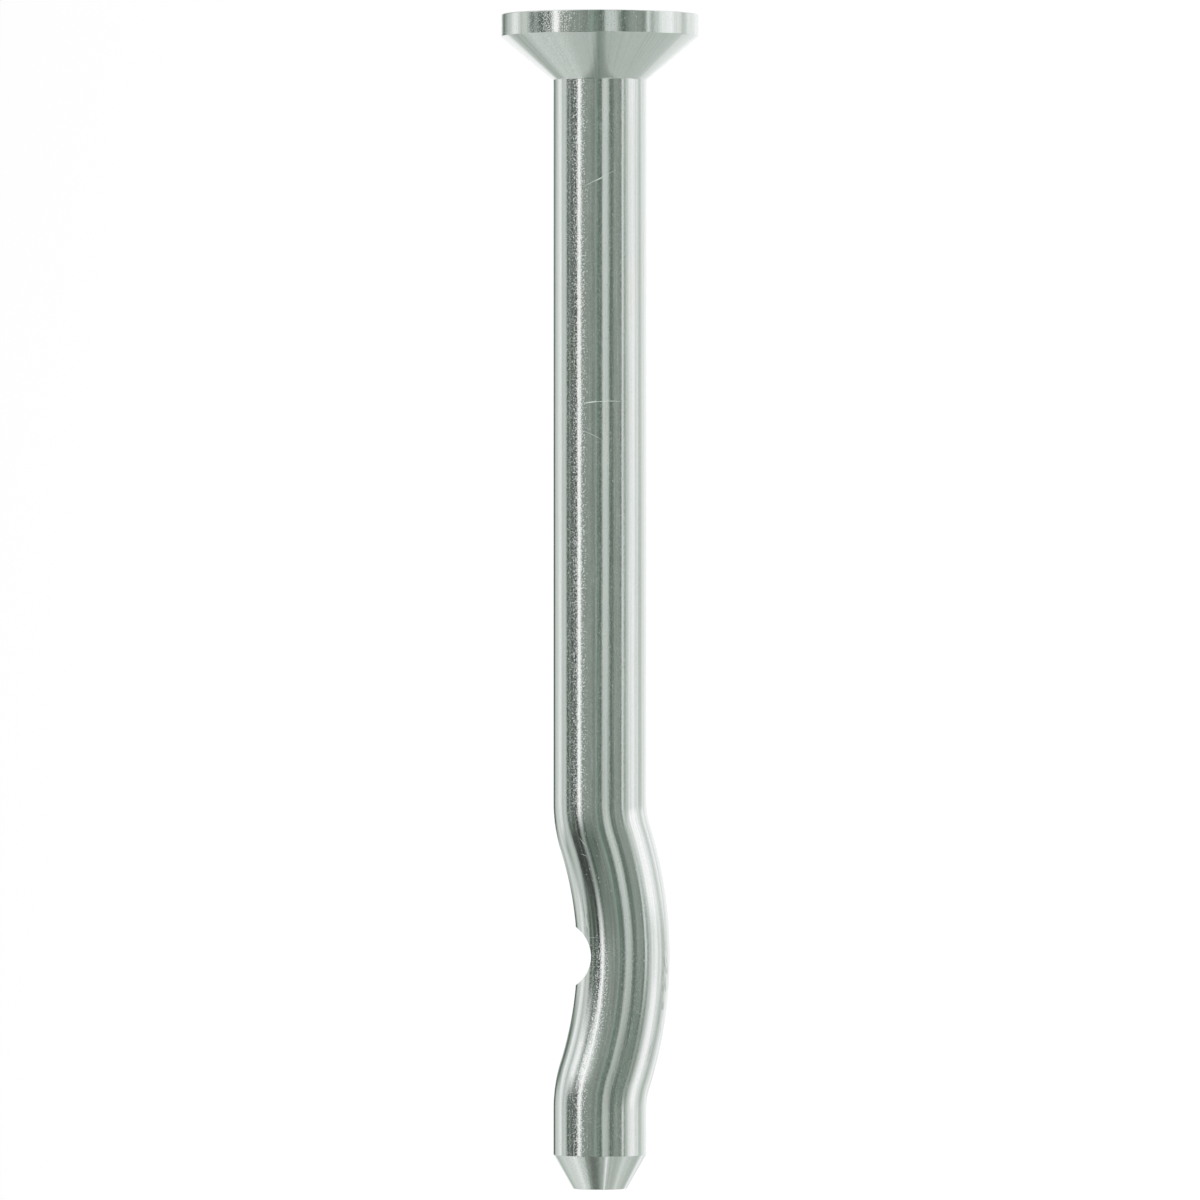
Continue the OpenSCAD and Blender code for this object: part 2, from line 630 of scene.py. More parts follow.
class NodeBench:
    """A node tree on the bench, with short ways to add nodes and link them."""

    def __init__(self, tree: bpy.types.NodeTree) -> None:
        """Takes the tree to work on and clears it."""
        self.tree = tree
        tree.nodes.clear()

    def add(self, kind: str, feeds: dict | None = None, **settings: object) -> bpy.types.Node:
        """Adds a node.

        Args:
            kind: Blender's name of the node's type.
            feeds: what its inputs get, by name or number: values, sockets, numbers or colours.
            settings: its own properties.

        Returns:
            The node.
        """
        node = self.tree.nodes.new(kind)
        node.location = (NODE_GAP * len(self.tree.nodes), 0.0)
        for name, value in settings.items():
            setattr(node, name, value)
        for name, value in (feeds or {}).items():
            source = value.socket if isinstance(value, Value) else value
            if isinstance(source, Socket):
                self.tree.links.new(source, node.inputs[name])
            else:
                node.inputs[name].default_value = source
        return node

    def maths(self, operation: str, *values: Feed) -> Value:
        """Works out a number from others, by one of Blender's operations."""
        node = self.add("ShaderNodeMath", dict(enumerate(values)), operation=operation)
        return Value(self, node.outputs[0])

    def clamped(self, value: Value) -> Value:
        """Holds a number between 0 and 1."""
        return Value(self, self.add("ShaderNodeClamp", {"Value": value}).outputs[0])

    def either(self, first: Value, second: Value) -> Value:
        """Gives the stronger of two masks."""
        return self.maths("MAXIMUM", first, second)

    def ramped(self, value: Value, low: float, high: float, smooth: bool = True) -> Value:
        """Turns a number into a mask.

        Args:
            value: the number.
            low: where the mask is 0.
            high: where it is 1.
            smooth: whether it eases in and out.

        Returns:
            The mask.
        """
        feeds = {"Value": value, "From Min": low, "From Max": high}
        node = self.add("ShaderNodeMapRange", feeds, interpolation_type="SMOOTHSTEP" if smooth else "LINEAR")
        return Value(self, node.outputs["Result"])

    def sector(self, angle: Value, middle: Value, out: float, full: float, smooth: bool = True) -> Value:
        """Masks a sector round the wire, from where it is 0 to where it is 1, in degrees off its middle."""
        low, high = math.cos(math.radians(out)), math.cos(math.radians(full))
        return self.ramped(self.maths("COSINE", angle - middle), low, high, smooth)

    def mixed(self, share: Value, first: object, second: object) -> Socket:
        """Mixes two colours, by the share of the second."""
        return self.add("ShaderNodeMix", {0: share, 6: first, 7: second}, data_type="RGBA").outputs[2]

    def vector(self, operation: str, *values: object) -> Socket:
        """Works out a vector from others, by one of Blender's operations."""
        return self.add("ShaderNodeVectorMath", dict(enumerate(values)), operation=operation).outputs[0]

    def split(self, vector: Socket) -> tuple[Value, ...]:
        """Gives a vector's three parts."""
        return tuple(Value(self, part) for part in self.add("ShaderNodeSeparateXYZ", {0: vector}).outputs)


class MaterialBench(NodeBench):
    """The bench of a new material."""

    def __init__(self, name: str) -> None:
        """Starts the material."""
        self.material = bpy.data.materials.new(name)
        self.material.use_nodes = True
        super().__init__(self.material.node_tree)

    def placed(self, group: bpy.types.NodeTree, wire: Socket, source: object) -> SimpleNamespace:
        """Places a node group.

        Args:
            group: the group.
            wire: the places on the drawn wire.
            source: the finish or mark whose fields feed the inputs of the same name.

        Returns:
            Its outputs, as values.
        """
        node = self.add("ShaderNodeGroup", {"wire": wire}, node_tree=group)
        for entry in node.inputs[1:]:
            entry.default_value = getattr(source, entry.name)
        return SimpleNamespace(**{out.name: Value(self, out) for out in node.outputs})

    def shaded(self, feeds: dict) -> bpy.types.Material:
        """Gives the material its shader, with these inputs, and returns it finished."""
        shader = self.add("ShaderNodeBsdfPrincipled", feeds)
        self.add("ShaderNodeOutputMaterial", {"Surface": shader.outputs[0]})
        return self.material


class EffectBench(NodeBench):
    """The bench of a shader node group that takes places on the drawn wire and some numbers."""

    def __init__(self, title: str, numbers: str) -> None:
        """Starts the group, with the names of its number inputs."""
        super().__init__(bpy.data.node_groups.new(title, "ShaderNodeTree"))
        self.tree.interface.new_socket("wire", in_out="INPUT", socket_type="NodeSocketVector")
        for name in numbers.split():
            self.tree.interface.new_socket(name, in_out="INPUT", socket_type="NodeSocketFloat")
        outputs = self.add("NodeGroupInput").outputs
        self.wire = outputs["wire"]
        self.given = SimpleNamespace(**{name: Value(self, outputs[name]) for name in numbers.split()})

    def noise(self, stretch: float, scale: Feed, detail: float, rough: float) -> Value:
        """Adds a noise on the wire.

        Args:
            stretch: what distances along the wire are multiplied by, less than 1 for long marks.
            scale: its lumps to the millimetre across.
            detail: how many finer layers it has.
            rough: how strong those are.

        Returns:
            The noise, about 0.5 on average.
        """
        place = self.wire if stretch == 1 else self.vector("MULTIPLY", self.wire, (1.0, 1.0, stretch))
        feeds = {"Vector": place, "Scale": scale, "Detail": detail, "Roughness": rough}
        return Value(self, self.add("ShaderNodeTexNoise", feeds).outputs["Fac"])

    def round_wire(self) -> tuple[Value, Value, Value]:
        """Gives the angle round the wire, the distance from its middle squared and the distance along it."""
        across, upward, along = self.split(self.wire)
        return self.maths("ARCTAN2", upward, across), across * across + upward * upward, along

    def put_out(self, **values: Value) -> bpy.types.NodeTree:
        """Gives the group its number outputs and returns it finished."""
        for name in values:
            self.tree.interface.new_socket(name, in_out="OUTPUT", socket_type="NodeSocketFloat")
        self.add("NodeGroupOutput", values)
        return self.tree


# Share of the roughness that ironing takes off, noise that a speck has to pass, what a full share of specks
# takes off that, and how steeply a speck rises over it
IRONED_OFF, SPECK_BAR, SPECK_GAIN, SPECK_EDGE = 0.88, 0.80, 0.3, 7.0
# How dull the lumps are all round the wire, and how far past the highlight's line the painted sheen of
# duller lumps is strongest, in radians
MATT_ALL_ROUND, MATT_SHIFT = 1.5, 0.17


class Effects:
    """The surface effects that the finishes share, each built once as a node group."""

    def __init__(self) -> None:
        """Builds the groups."""
        self.grain = self.build_grain()
        self.draw_lines = self.build_draw_lines()
        self.die_streaks = self.build_die_streaks()
        self.scratch = self.build_scratch()
        self.cloud = self.build_cloud()
        self.scuff = self.build_scuff()

    def build_grain(self) -> bpy.types.NodeTree:
        """Builds the plating's fine lumps and specks, with painted glints and sheen: more specks, and
        duller, paler lumps, bunched at the line where the key card's reflection runs along the straight
        wire, with fewer on that line itself.
        """
        bench = EffectBench(
            "Plating grain",
            "lumps_per_mm specks_per_mm speck_share side_share rough_side matt_side ironed_at ironed_reach",
        )
        given = bench.given
        angle, _, along = bench.round_wire()
        middle = bench.maths("RADIANS", given.rough_side)
        # Painted glints and sheen: the highlight's line is where the key card's reflection runs along the
        # straight wire; specks bunch to each side of it, fewer on it, and the lumps just past it turn duller
        # and paler.
        highlight_core = bench.sector(angle, middle, 1.7, 0.8)
        beside_highlight = bench.sector(angle, middle, 13.0, 1.5, smooth=False)
        matt = bench.sector(angle, middle + MATT_SHIFT, 15.0, 8.0)
        apart = bench.maths("ABSOLUTE", along - given.ironed_at) / given.ironed_reach
        rough = 1.0 - bench.ramped(apart, 1.0, 0.6) * IRONED_OFF
        share = (beside_highlight - highlight_core * 1.2) * rough * given.side_share + given.speck_share
        spots = bench.noise(0.8, given.specks_per_mm, 0.0, 0.5)
        return bench.put_out(
            lumps=bench.noise(1.0, given.lumps_per_mm, 1.0, 0.6),
            specks=bench.clamped((spots - (SPECK_BAR - share * SPECK_GAIN)) * SPECK_EDGE),
            matt=(matt * given.matt_side + MATT_ALL_ROUND) * rough,
        )

    def build_draw_lines(self) -> bpy.types.NodeTree:
        """Builds the fine lines that the drawing die leaves along the wire, and its duller patches."""
        bench = EffectBench("Draw lines", "lines_per_mm hairs_per_mm")
        return bench.put_out(
            lines=bench.noise(0.005, bench.given.lines_per_mm, 2.0, 0.6),
            patches=bench.ramped(bench.noise(0.16, 0.9, 2.0, 0.5), 0.35, 0.7),
            hairs=bench.ramped(bench.noise(0.02, bench.given.hairs_per_mm, 1.0, 0.6), 0.50, 0.70),
        )

    def build_die_streaks(self) -> bpy.types.NodeTree:
        """Builds the fine streaks down the flanks of a cone, from the dies that closed on it."""
        bench = EffectBench("Die streaks", "streaks_per_turn")
        bench.wire = bench.vector("NORMALIZE", bench.vector("MULTIPLY", bench.wire, (1.0, 1.0, 0.0)))
        scale = bench.given.streaks_per_turn / (2 * math.pi)
        return bench.put_out(streaks=bench.noise(1.0, scale, 3.0, 0.6))

    def build_scratch(self) -> bpy.types.NodeTree:
        """Builds one hair scratch, a shallow arc across the unrolled wire."""
        bench = EffectBench("Hair scratch", "around along heading length width bow")
        given = bench.given
        angle, radius_squared, along = bench.round_wire()
        across = (angle - bench.maths("RADIANS", given.around)) * bench.maths("SQRT", radius_squared)
        along = along - given.along
        heading = bench.maths("RADIANS", given.heading)
        cosine, sine = bench.maths("COSINE", heading), bench.maths("SINE", heading)
        share = (across * cosine + along * sine) / (given.length * 0.5)
        apart = bench.maths("ABSOLUTE", along * cosine - across * sine - share * share * given.bow)
        taper = bench.maths("POWER", bench.clamped(1.0 - bench.maths("ABSOLUTE", share)), 0.4)
        half_width = bench.maths("MAXIMUM", given.width * 0.5 * taper, 0.0001)
        return bench.put_out(mark=bench.clamped((1.0 - apart / half_width) * 2.0))

    def build_cloud(self) -> bpy.types.NodeTree:
        """Builds broad soft clouds, for the faint brown and green casts of the passivated zinc."""
        bench = EffectBench("Passivation cloud", "clouds_per_mm")
        brown = bench.noise(0.45, bench.given.clouds_per_mm, 3.0, 0.55)
        bench.wire = bench.vector("ADD", bench.wire, (31.0, 17.0, 53.0 / 0.45))
        green = bench.noise(0.45, bench.given.clouds_per_mm, 3.0, 0.55)
        return bench.put_out(brown=bench.ramped(brown, 0.48, 0.72), green=bench.ramped(green, 0.45, 0.7))

    def build_scuff(self) -> bpy.types.NodeTree:
        """Builds a patch of short dashes along the wire, where a die or a tool rubbed it."""
        bench = EffectBench("Handling scuff", "around along turn length")
        given = bench.given
        angle, _, along = bench.round_wire()
        aside = (angle - bench.maths("RADIANS", given.around)) / (bench.maths("RADIANS", given.turn) * 0.5)
        ahead = (along - given.along) / (given.length * 0.5)
        inside = bench.ramped(aside * aside + ahead * ahead, 1.0, 0.3)
        return bench.put_out(mark=inside * bench.ramped(bench.noise(0.3, 5.0, 1.0, 0.5), 0.5, 0.62))


@dataclass(frozen=True)
class Scratch:
    """A hair scratch.

    Attributes:
        around: angle of its middle from the crest's side, in degrees.
        along: distance of its middle along the drawn wire, in millimetres.
        heading: angle from straight across to along, in degrees.
        length: its length in millimetres.
        width: its width.
        bow: how far its ends fall behind its middle.
        depth: how strongly it shows.
    """

    around: float
    along: float
    heading: float
    length: float
    width: float = 0.05
    bow: float = 0.0
    depth: float = 1.0


@dataclass(frozen=True)
class Scuff:
    """A rubbed patch, placed as a scratch is, with its turn round the wire in degrees."""

    around: float
    along: float
    turn: float
    length: float
    depth: float = 0.5


# Colour of the zinc where a mark has broken its mirror, and of the painted glints and sheen at the
# highlight's line
WHITE_ZINC: Colour = (0.81, 0.88, 0.83)


@dataclass(frozen=True)
class ZincFinish:
    """Bright zinc plate over formed steel.

    Attributes:
        name: the material's name.
        zones: the stretches that wear it.
        zinc: colour of the clean plate.
        green: its colour where the passivation casts green.
        brown: its colour where handling has warmed it.
        roughness: roughness of the clean plate.
        dull: what the patches of draw lines add to it.
        shade: how much darker the plate is painted in its lines and hollows, a painted shade in their
            recesses.
        grain_height: height of the grain's lumps, in millimetres.
        speck_height: height of the specks.
        line_height: height of the draw lines.
        lumps_per_mm: how fine the grain is.
        specks_per_mm: how fine its specks are.
        speck_share: how many places have a speck.
        side_share: how many more have one at the highlight's line, painted glints.
        rough_side: angle from the crest's side of the line where the key card's reflection runs along the
            straight wire, in degrees.
        matt_side: how much duller and paler the lumps are just past it, a painted sheen.
        ironed_at: place on the wire that the crimping dies ironed smoother, in millimetres.
        ironed_reach: how far they ironed it to each side.
        lines_per_mm: how fine the draw lines are, or 0 where dies left streaks instead.
        hairs_per_mm: how fine the dull hair lines are.
        worn: how dull the hair lines and the lumps are.
        frost: how dull the specks are.
        streaks_per_turn: how fine the die streaks are.
        clouds_per_mm: how fine the clouds of the passivation are.
        scratches: the hair scratches on it.
        scuffs: the rubbed patches on it.
        scratch_roughness: what a scratch adds to the roughness.
        scratch_dull: how much of the metal's mirror it takes.
        scuff_roughness: what a scuff adds to the roughness.
        scuff_tone: share of the plate's colour that it leaves.
    """

    name: str
    zones: tuple[Zone, ...]
    zinc: Colour = (0.825, 0.835, 0.83)
    green: Colour = (0.80, 0.83, 0.815)
    brown: Colour = (0.825, 0.82, 0.805)
    roughness: float = 0.06
    dull: float = 0.03
    shade: float = 0.2
    grain_height: float = 0.0018
    speck_height: float = 0.0028
    line_height: float = 0.0012
    lumps_per_mm: float = 13.0
    specks_per_mm: float = 12.5
    speck_share: float = 0.10
    # Painted glints and sheen at the line where the key card's reflection runs
    side_share: float = 0.85
    rough_side: float = 116.3
    matt_side: float = 3.2
    ironed_at: float = 56.0
    ironed_reach: float = 5.0
    lines_per_mm: float = 9.0
    hairs_per_mm: float = 13.0
    worn: float = 0.075
    frost: float = 0.36
    streaks_per_turn: float = 90.0
    clouds_per_mm: float = 0.4
    scratches: tuple[Scratch, ...] = ()
    scuffs: tuple[Scuff, ...] = ()
    scratch_roughness: float = 0.3
    scratch_dull: float = 0.85
    scuff_roughness: float = 0.25
    scuff_tone: float = 0.45

    def zinc_at(self, share: float) -> tuple[float, float, float, float]:
        """Gives the plate's colour at a share of its lightness."""
        return opaque(tuple(channel * share for channel in self.zinc))

    def joined(self, bench: MaterialBench, group: bpy.types.NodeTree, wire: Socket, marks: tuple) -> Value:
        """Joins marks of one kind into one mask.

        Args:
            bench: the material's tree.
            group: the node group that draws such a mark.
            wire: the places on the drawn wire.
            marks: the scratches or scuffs.

        Returns:
            The mask.
        """
        masks = [bench.placed(group, wire, mark).mark * mark.depth for mark in marks]
        return functools.reduce(bench.either, masks)

    def material(self, effects: Effects) -> bpy.types.Material:
        """Builds the material.

        Args:
            effects: the shared groups.

        Returns:
            The material.
        """
        bench = MaterialBench(self.name)
        wire = bench.add("ShaderNodeAttribute", attribute_name=DRAWN_ATTRIBUTE).outputs["Vector"]
        grain = bench.placed(effects.grain, wire, self)
        if self.lines_per_mm > 0:
            drawn = bench.placed(effects.draw_lines, wire, self)
            lines, patches, hairs = drawn.lines, drawn.patches, drawn.hairs
        else:
            lines = patches = hairs = bench.placed(effects.die_streaks, wire, self).streaks
        cloud = bench.placed(effects.cloud, wire, self)

        colour = bench.mixed(cloud.green, opaque(self.zinc), opaque(self.green))
        colour = bench.mixed(cloud.brown, colour, opaque(self.brown))
        # Painted shade: the colour darkens in the hollows of the grain's lumps and the grooves of the draw
        # lines, where the bump is lowest.
        for hollow in (bench.ramped(grain.lumps, 0.5, 0.3), bench.ramped(lines, 0.52, 0.34)):
            colour = bench.mixed(hollow * 0.5, colour, self.zinc_at(1 - self.shade))
        roughness = patches * self.dull + self.roughness
        height = grain.lumps * self.grain_height + grain.specks * self.speck_height
        height = height + lines * self.line_height
        # Paler, less metallic zinc on the hair lines, lumps and specks; at the highlight's line this is
        # painted glints and sheen.
        dust = hairs + bench.ramped(grain.lumps, 0.50, 0.66) * grain.matt
        frost = dust * self.worn + grain.specks * self.frost
        colour = bench.mixed(frost, colour, opaque(WHITE_ZINC))
        metallic = bench.clamped(1.0 - frost)
        if self.scuffs:
            scuffed = self.joined(bench, effects.scuff, wire, self.scuffs)
            roughness = scuffed * self.scuff_roughness + roughness
            colour = bench.mixed(scuffed, colour, self.zinc_at(self.scuff_tone))
        if self.scratches:
            scratched = self.joined(bench, effects.scratch, wire, self.scratches)
            roughness = scratched * self.scratch_roughness + roughness
            colour = bench.mixed(scratched, colour, opaque(WHITE_ZINC))
            metallic = metallic * (1.0 - scratched * self.scratch_dull)
        bump = bench.add("ShaderNodeBump", {"Height": height, "Distance": MM})
        feeds = {"Base Color": colour, "Metallic": metallic, "Roughness": roughness}
        return bench.shaded({**feeds, "Normal": bump.outputs[0]})


SHANK_PLATE = ZincFinish(
    "zinc_drawn_shank",
    (Zone.SHANK, Zone.CRIMP, Zone.NOTCH, Zone.PILOT),
    scratches=(
        Scratch(85.4, 25.15, 3, 2.4, width=0.06, bow=0.08, depth=0.6),
        Scratch(101.5, 25.21, 9, 0.8, width=0.08, depth=0.9),
        Scratch(99.2, 27.32, -26, 1.5, bow=0.03, depth=0.5),
        Scratch(91, 10.75, 27, 2.5, depth=0.45),
        Scratch(92, 10.8, 24, 0.55, width=0.08, depth=0.8),
        Scratch(133, 59.9, 0, 1.1, depth=0.4),
        Scratch(135, 61.9, -4, 1, depth=0.4),
        Scratch(129, 61, -50, 0.5, depth=0.4),
        Scratch(119, 53.3, -60, 0.7, depth=0.5),
        Scratch(123, 54.1, -35, 0.5, depth=0.5),
        Scratch(-60, 33, 14, 2, width=0.06, bow=0.1, depth=0.6),
        Scratch(-140, 18, -32, 1.6, width=0.06, depth=0.6),
        Scratch(15, 42, 48, 1.4, width=0.06, bow=-0.06, depth=0.5),
    ),
    scuffs=(
        Scuff(25, 63.2, 22, 6.5, depth=0.5),
        # A darker, rougher patch by the notch, 139 degrees round and 58.4 mm along
        Scuff(139, 58.4, 17, 4.2, depth=0.4),
        Scuff(38, 66.8, 7, 1.8, depth=0.35),
        Scuff(-75, 61, 60, 7, depth=0.35),
        Scuff(-160, 72, 40, 3, depth=0.3),
    ),
)
HEAD_PLATE = ZincFinish(
    "zinc_headed_rim", (Zone.RIM,), speck_height=0.004, speck_share=0.3, frost=0.25, line_height=0.0008
)
FACE_PLATE = replace(
    HEAD_PLATE, name="zinc_struck_face", zones=(Zone.HEAD_FACE, Zone.TIP_FLAT), side_share=0.0, matt_side=0.0
)
COUNTERSINK_PLATE = ZincFinish(
    "zinc_struck_countersink",
    (Zone.COUNTERSINK,),
    roughness=0.1,
    frost=0.12,
    speck_height=0.0015,
    lines_per_mm=0.0,
    streaks_per_turn=150.0,
)
TIP_PLATE = ZincFinish("zinc_pointed_tip", (Zone.TIP_CONE,), roughness=0.08, frost=0.2, lines_per_mm=0.0)

# Studio


class Cast(Enum):
    """Slight cast of a card, over the cool grey of its level, as factors on its red and its blue."""

    PLAIN = (1.0, 1.0)
    GREEN = (0.90, 0.96)
    BROWN = (1.05, 1.0)


@dataclass(frozen=True)
class Card:
    """A long card of the studio, as the metal mirrors it, with a blend over to the next one.

    Attributes:
        start: angle of its first edge, from the +Y horizon over the zenith, in degrees.
        end: angle of its other edge.
        level: how light it is.
        cast: its cast.
    """

    start: float
    end: float
    level: float
    cast: Cast = Cast.PLAIN

    @property
    def tone(self) -> Colour:
        """The card's colour, greener the darker it is."""
        red, blue = self.cast.value
        red *= min(1.0, 0.80 + 0.18 * self.level)
        blue *= min(1.0, 0.84 + 0.155 * self.level)
        return (self.level * red, self.level, self.level * blue)


# Blender's colour ramp holds 32 stops, two to a card
CARDS_PER_RAMP = 15
# Angles about the anchor's length over which its low side starts, in degrees
LOW_SIDE: Span = (-5.0, -25.0)


@dataclass(frozen=True)
class Stretch:
    """The cards over and under the level of the anchor, for one stretch of the studio's length.

    Places along the studio are directions' shares towards the head, or below 0 towards the tip.

    Attributes:
        over: cards from 0 degrees, the +Y horizon, over the zenith to 180, the -Y horizon.
        under: cards from -180 degrees under the anchor to 0.
        blend: places where the last stretch's cards start to give way and are gone.
        low_blend: the same for the low side, where that differs.
        eased: whether the blend eases in and out.
        shifts: angles where a shift of the blend starts and is full, and the shift.
    """

    over: tuple[Card, ...]
    under: tuple[Card, ...]
    blend: Span = (0.0, 0.0)
    low_blend: Span | None = None
    eased: bool = False
    shifts: tuple[tuple[float, float, float], ...] = ()


SQUARE_ON = Stretch(
    over=(
        Card(0, 0.5, 0.78), Card(3, 4.5, 0.57), Card(7, 12.5, 0.67), Card(16, 17, 0.54),
        Card(20.5, 25.5, 0.12, Cast.GREEN), Card(27.5, 31, 0.245), Card(33, 39.5, 0.11, Cast.GREEN),
        Card(41, 43, 0.215), Card(45, 50, 0.07), Card(53.4, 60.8, 1.1), Card(63, 71, 0.32),
        Card(73, 89, 0.315), Card(90.5, 96.5, 0.26), Card(98.5, 101, 0.345, Cast.GREEN),
        Card(103, 107, 0.225, Cast.GREEN), Card(108, 113, 0.185, Cast.GREEN), Card(117.2, 127, 0.675),
        Card(129.5, 130.5, 0.55), Card(134, 139, 0.185, Cast.GREEN), Card(141.5, 142.5, 0.225),
        Card(146, 153, 0.34), Card(156, 160, 0.31), Card(161.5, 163.5, 0.235), Card(167.2, 169.2, 0.84),
        Card(172, 175, 0.395), Card(178, 180, 0.62),
    ),
    under=(
        Card(-180, -178, 0.64), Card(-175.5, -174, 0.82), Card(-172, -170.5, 0.95),
        Card(-168.5, -167.5, 0.89), Card(-162, -156, 1), Card(-152, -149.5, 0.78), Card(-146.5, -143, 0.89),
        Card(-138.5, -129, 0.61), Card(-121, -111, 0.89), Card(-104, -60, 1.02),
        Card(-54, -43, 0.1, Cast.GREEN), Card(-36, -33, 0.58), Card(-27, -22, 0.71), Card(-14, -13, 0.86),
        Card(-9.5, -4, 0.95), Card(-1, 0, 0.82),
    ),
)
HEADWARD = Stretch(
    over=(
        Card(0, 1, 0.84), Card(5, 8.5, 0.6), Card(15, 16, 0.88), Card(20, 29.5, 1.05), Card(33, 34, 0.78),
        Card(38, 41, 0.4), Card(45.5, 46, 0.96), Card(49, 62, 1.18), Card(65.5, 66, 0.98),
        Card(68.5, 69, 0.88), Card(73, 73.5, 0.68), Card(79, 79.5, 0.49), Card(88, 93, 0.32),
        Card(96, 101, 0.35, Cast.GREEN), Card(104, 113, 0.21, Cast.GREEN), Card(117, 129, 0.68),
        Card(134, 141, 0.23, Cast.GREEN), Card(144, 150, 0.31), Card(153, 161, 0.34), Card(163, 164, 0.39),
        Card(167.5, 169, 0.68), Card(172, 173, 0.66), Card(179, 180, 0.86),
    ),
    under=(
        Card(-180, -179, 0.86), Card(-174.5, -156, 1.13), Card(-152, -151, 1.04), Card(-147, -146, 0.92),
        Card(-141, -140, 0.79), Card(-137, -135, 0.7), Card(-131, -130, 0.82), Card(-124.5, -122.5, 1.06),
        Card(-118, -110, 0.94), Card(-104, -56, 1.03), Card(-46.5, -45, 0.42),
        Card(-41, -34.5, 0.14, Cast.GREEN), Card(-27, -26, 0.4), Card(-20.5, -19.5, 0.57),
        Card(-16, -15.5, 0.82), Card(-12.5, -8, 1), Card(-5, 0, 0.9),
    ),
    blend=(0.01, 0.19),
    low_blend=(0.045, 0.12),
)
TIPWARD = Stretch(
    over=(
        Card(0, 1, 0.5), Card(4, 6, 0.58), Card(11, 16.5, 0.64), Card(20.5, 21.5, 0.42),
        Card(26.5, 50.5, 0.06, Cast.BROWN), Card(54.5, 60, 0.37), Card(63.5, 65.5, 0.11, Cast.GREEN),
        Card(69, 78, 0.185, Cast.GREEN), Card(80, 91, 0.14, Cast.GREEN), Card(95, 101, 0.32, Cast.GREEN),
        Card(104, 113, 0.21, Cast.GREEN), Card(117, 121.5, 0.48), Card(124, 130, 0.36),
        Card(134, 142, 0.2, Cast.GREEN), Card(146, 158, 0.26, Cast.GREEN), Card(160, 162, 0.21, Cast.GREEN),
        Card(166, 168.5, 0.4), Card(171.5, 174, 0.31), Card(179, 180, 0.58),
    ),
    under=(
        Card(-180, -176, 0.68), Card(-170, -157.5, 1.07), Card(-152.5, -151, 0.88), Card(-147, -144, 0.79),
        Card(-140.5, -139.5, 0.68), Card(-136, -130.5, 0.555), Card(-120.5, -117, 0.83),
        Card(-108, -104, 1.03), Card(-97, -90, 0.88), Card(-82, -52, 1.02), Card(-47.5, -43, 0.64),
        Card(-39.5, -35.5, 0.5), Card(-27, -20, 0.78), Card(-14, -12, 0.6), Card(-8, -3, 0.46),
        Card(-1, 0, 0.5),
    ),
    blend=(-0.08, -0.22),
    low_blend=(-0.035, -0.11),
    shifts=((52, 38, 0.06), (104, 116, -0.05)),
)
PAST_TIP = Stretch(
    over=(
        Card(0, 7, 0.8), Card(15, 20, 0.93), Card(28.5, 32.5, 0.71), Card(41.5, 45, 0.63),
        Card(54, 60, 0.27), Card(70, 76, 0.155, Cast.BROWN), Card(81, 93, 0.115, Cast.BROWN),
        Card(98, 100, 0.165, Cast.BROWN), Card(109, 111, 0.35), Card(116, 122.5, 0.42),
        Card(126.5, 129, 0.45), Card(137, 142, 1), Card(147, 148, 0.6), Card(153, 164, 0.52),
        Card(170, 180, 0.53),
    ),
    under=(
        Card(-180, -172, 0.53), Card(-163, -156, 0.75), Card(-149, -134, 0.62), Card(-128, -118, 0.53),
        Card(-108, -103, 0.58), Card(-99.5, -90, 0.81), Card(-84, -58, 0.97), Card(-49.5, -45, 0.42),
        Card(-42, -37.5, 0.51), Card(-34.5, -32.5, 0.71), Card(-30, -25, 0.64), Card(-15, 0, 0.77),
    ),
    blend=(-0.34, -0.52),
    eased=True,
)
END_ON = Stretch(
    over=(
        Card(0, 12, 0.4), Card(30, 85, 0.29, Cast.GREEN), Card(100, 125, 0.26, Cast.GREEN),
        Card(135, 180, 0.29, Cast.GREEN),
    ),
    under=(
        Card(-180, -160, 0.33), Card(-145, -118, 0.55), Card(-112, -90, 0.5), Card(-60, -18, 0.55),
        Card(-6, 0, 0.4),
    ),
    blend=(-0.89, -0.95),
    eased=True,
)

